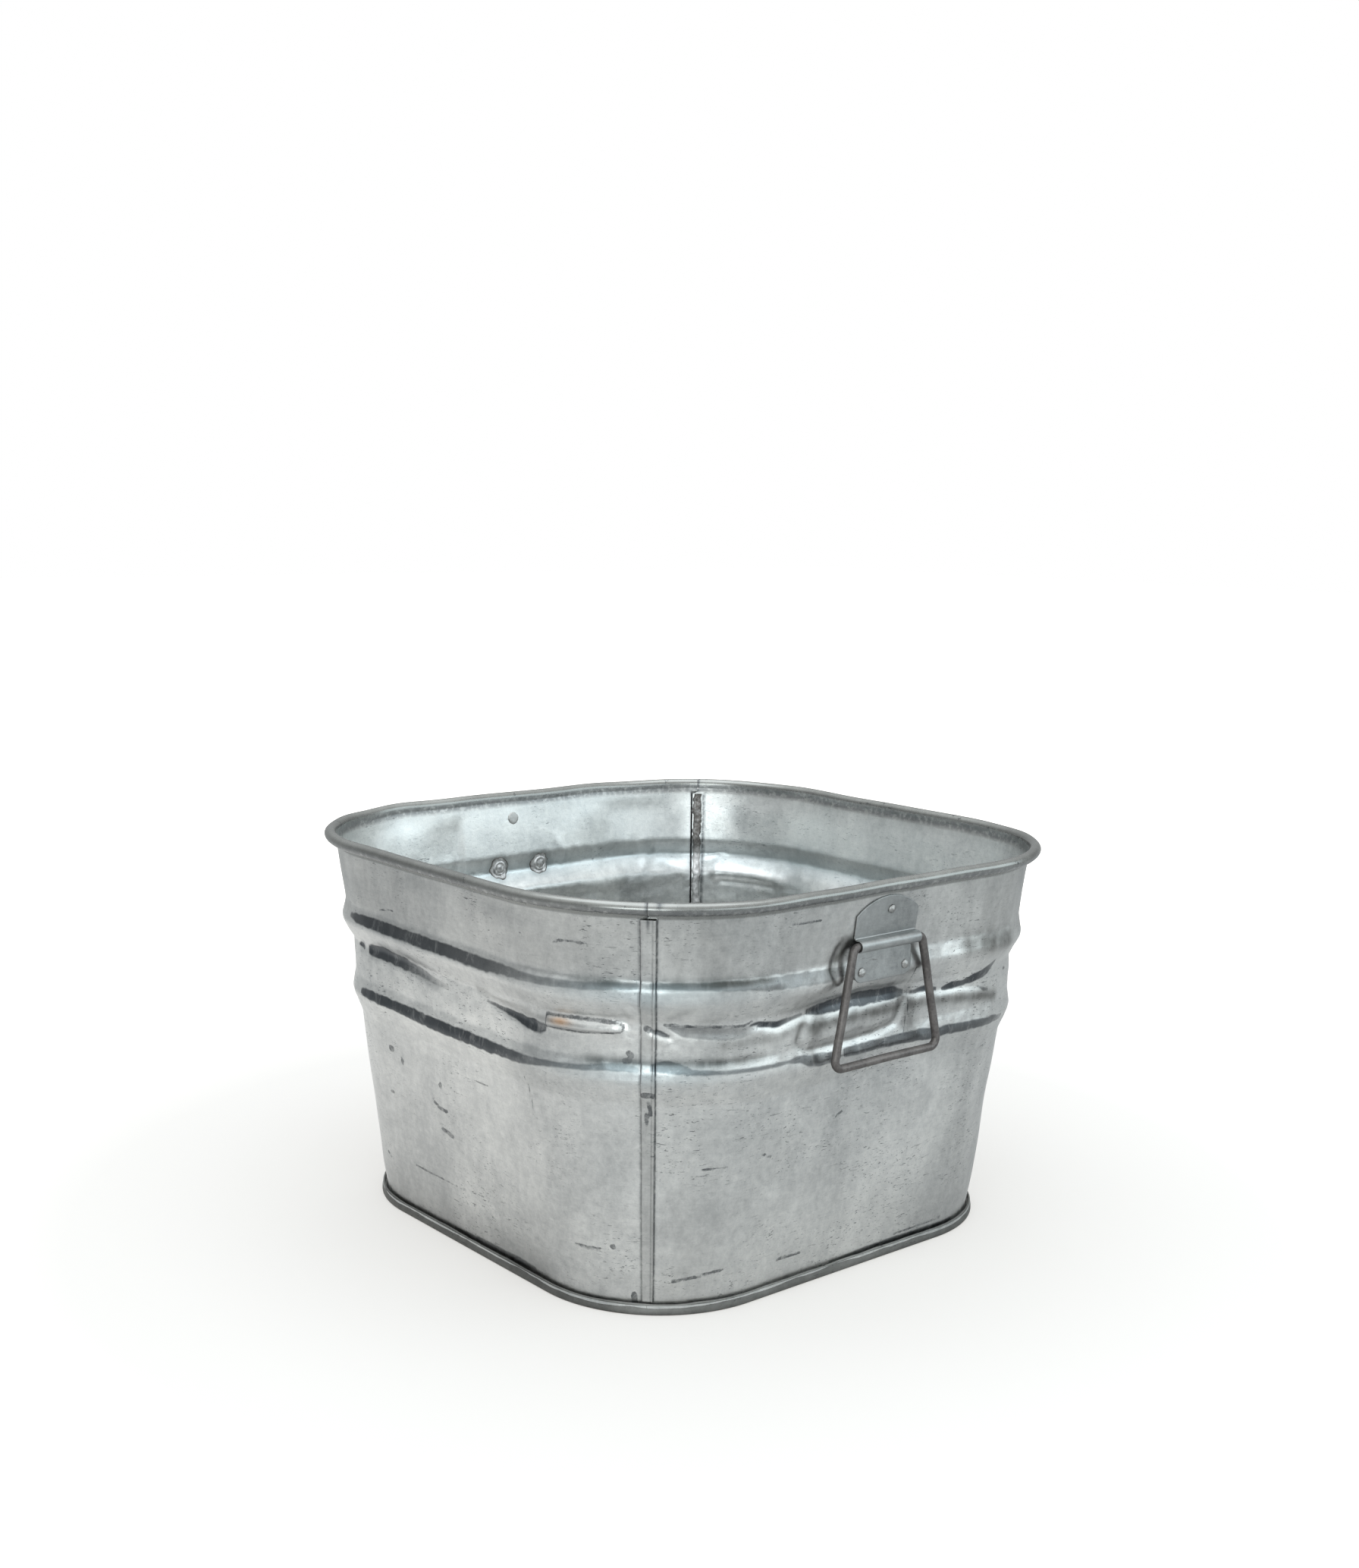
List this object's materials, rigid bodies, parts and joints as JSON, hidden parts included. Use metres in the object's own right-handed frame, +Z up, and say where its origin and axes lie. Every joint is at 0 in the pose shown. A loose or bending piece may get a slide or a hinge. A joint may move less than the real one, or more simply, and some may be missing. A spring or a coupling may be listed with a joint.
{
  "type": "square galvanised tub",
  "caption": "Square galvanised steel tub with rounded corners, beaded tapering walls, a wired rim and drop handles on riveted ears, for standing cut flowers in water.",
  "frame": {"origin": "centre of the base, on the surface the tub stands on", "axes": "+Z up; the handles hang on the +X and -X sides; the seams run up the +X-Y and -X+Y corners"},
  "size_m": [0.51, 0.51, 0.316],
  "materials": {
    "galvanised_sheet": "hot-dip zinc, weathered, soft spangle and scuffs",
    "bottom_sheet": "hot-dip zinc, dulled by standing water",
    "ear_steel": "stamped sheet, dull zinc",
    "steel_wire": "drawn wire, brownish grey and worn",
    "rivet_steel": "peened, dull zinc",
    "solder": "dull solder with a hammered, uneven surface"
  },
  "bodies": {
    "tub": {"body_half_right": "galvanised_sheet", "body_half_left": "galvanised_sheet", "bottom_pan": "bottom_sheet", "rim_wire": "steel_wire", "near_seam_solder": "solder", "far_seam_solder": "solder", "bottom_seam_solder": "solder", "ear_right": "ear_steel", "ear_left": "ear_steel", "ear_top_rivet_right": "rivet_steel", "ear_top_rivet_left": "rivet_steel", "ear_front_rivet_right": "rivet_steel", "ear_front_rivet_left": "rivet_steel", "ear_back_rivet_right": "rivet_steel", "ear_back_rivet_left": "rivet_steel", "front_rivet_solder_right": "solder", "front_rivet_solder_left": "solder", "back_rivet_solder_right": "solder", "back_rivet_solder_left": "solder"},
    "right_handle": {"handle_right": "steel_wire"},
    "left_handle": {"handle_left": "steel_wire"}
  },
  "joints": [
    {"name": "right_handle_swing", "type": "hinge", "parent": "tub", "child": "right_handle", "pos_m": [0.2454, -0.003, 0.2675], "axis": [0, -1, 0], "range_deg": [-1.5, 162]},
    {"name": "left_handle_swing", "type": "hinge", "parent": "tub", "child": "left_handle", "pos_m": [-0.2454, 0.003, 0.2675], "axis": [0, 1, 0], "range_deg": [-1.5, 162]}
  ]
}
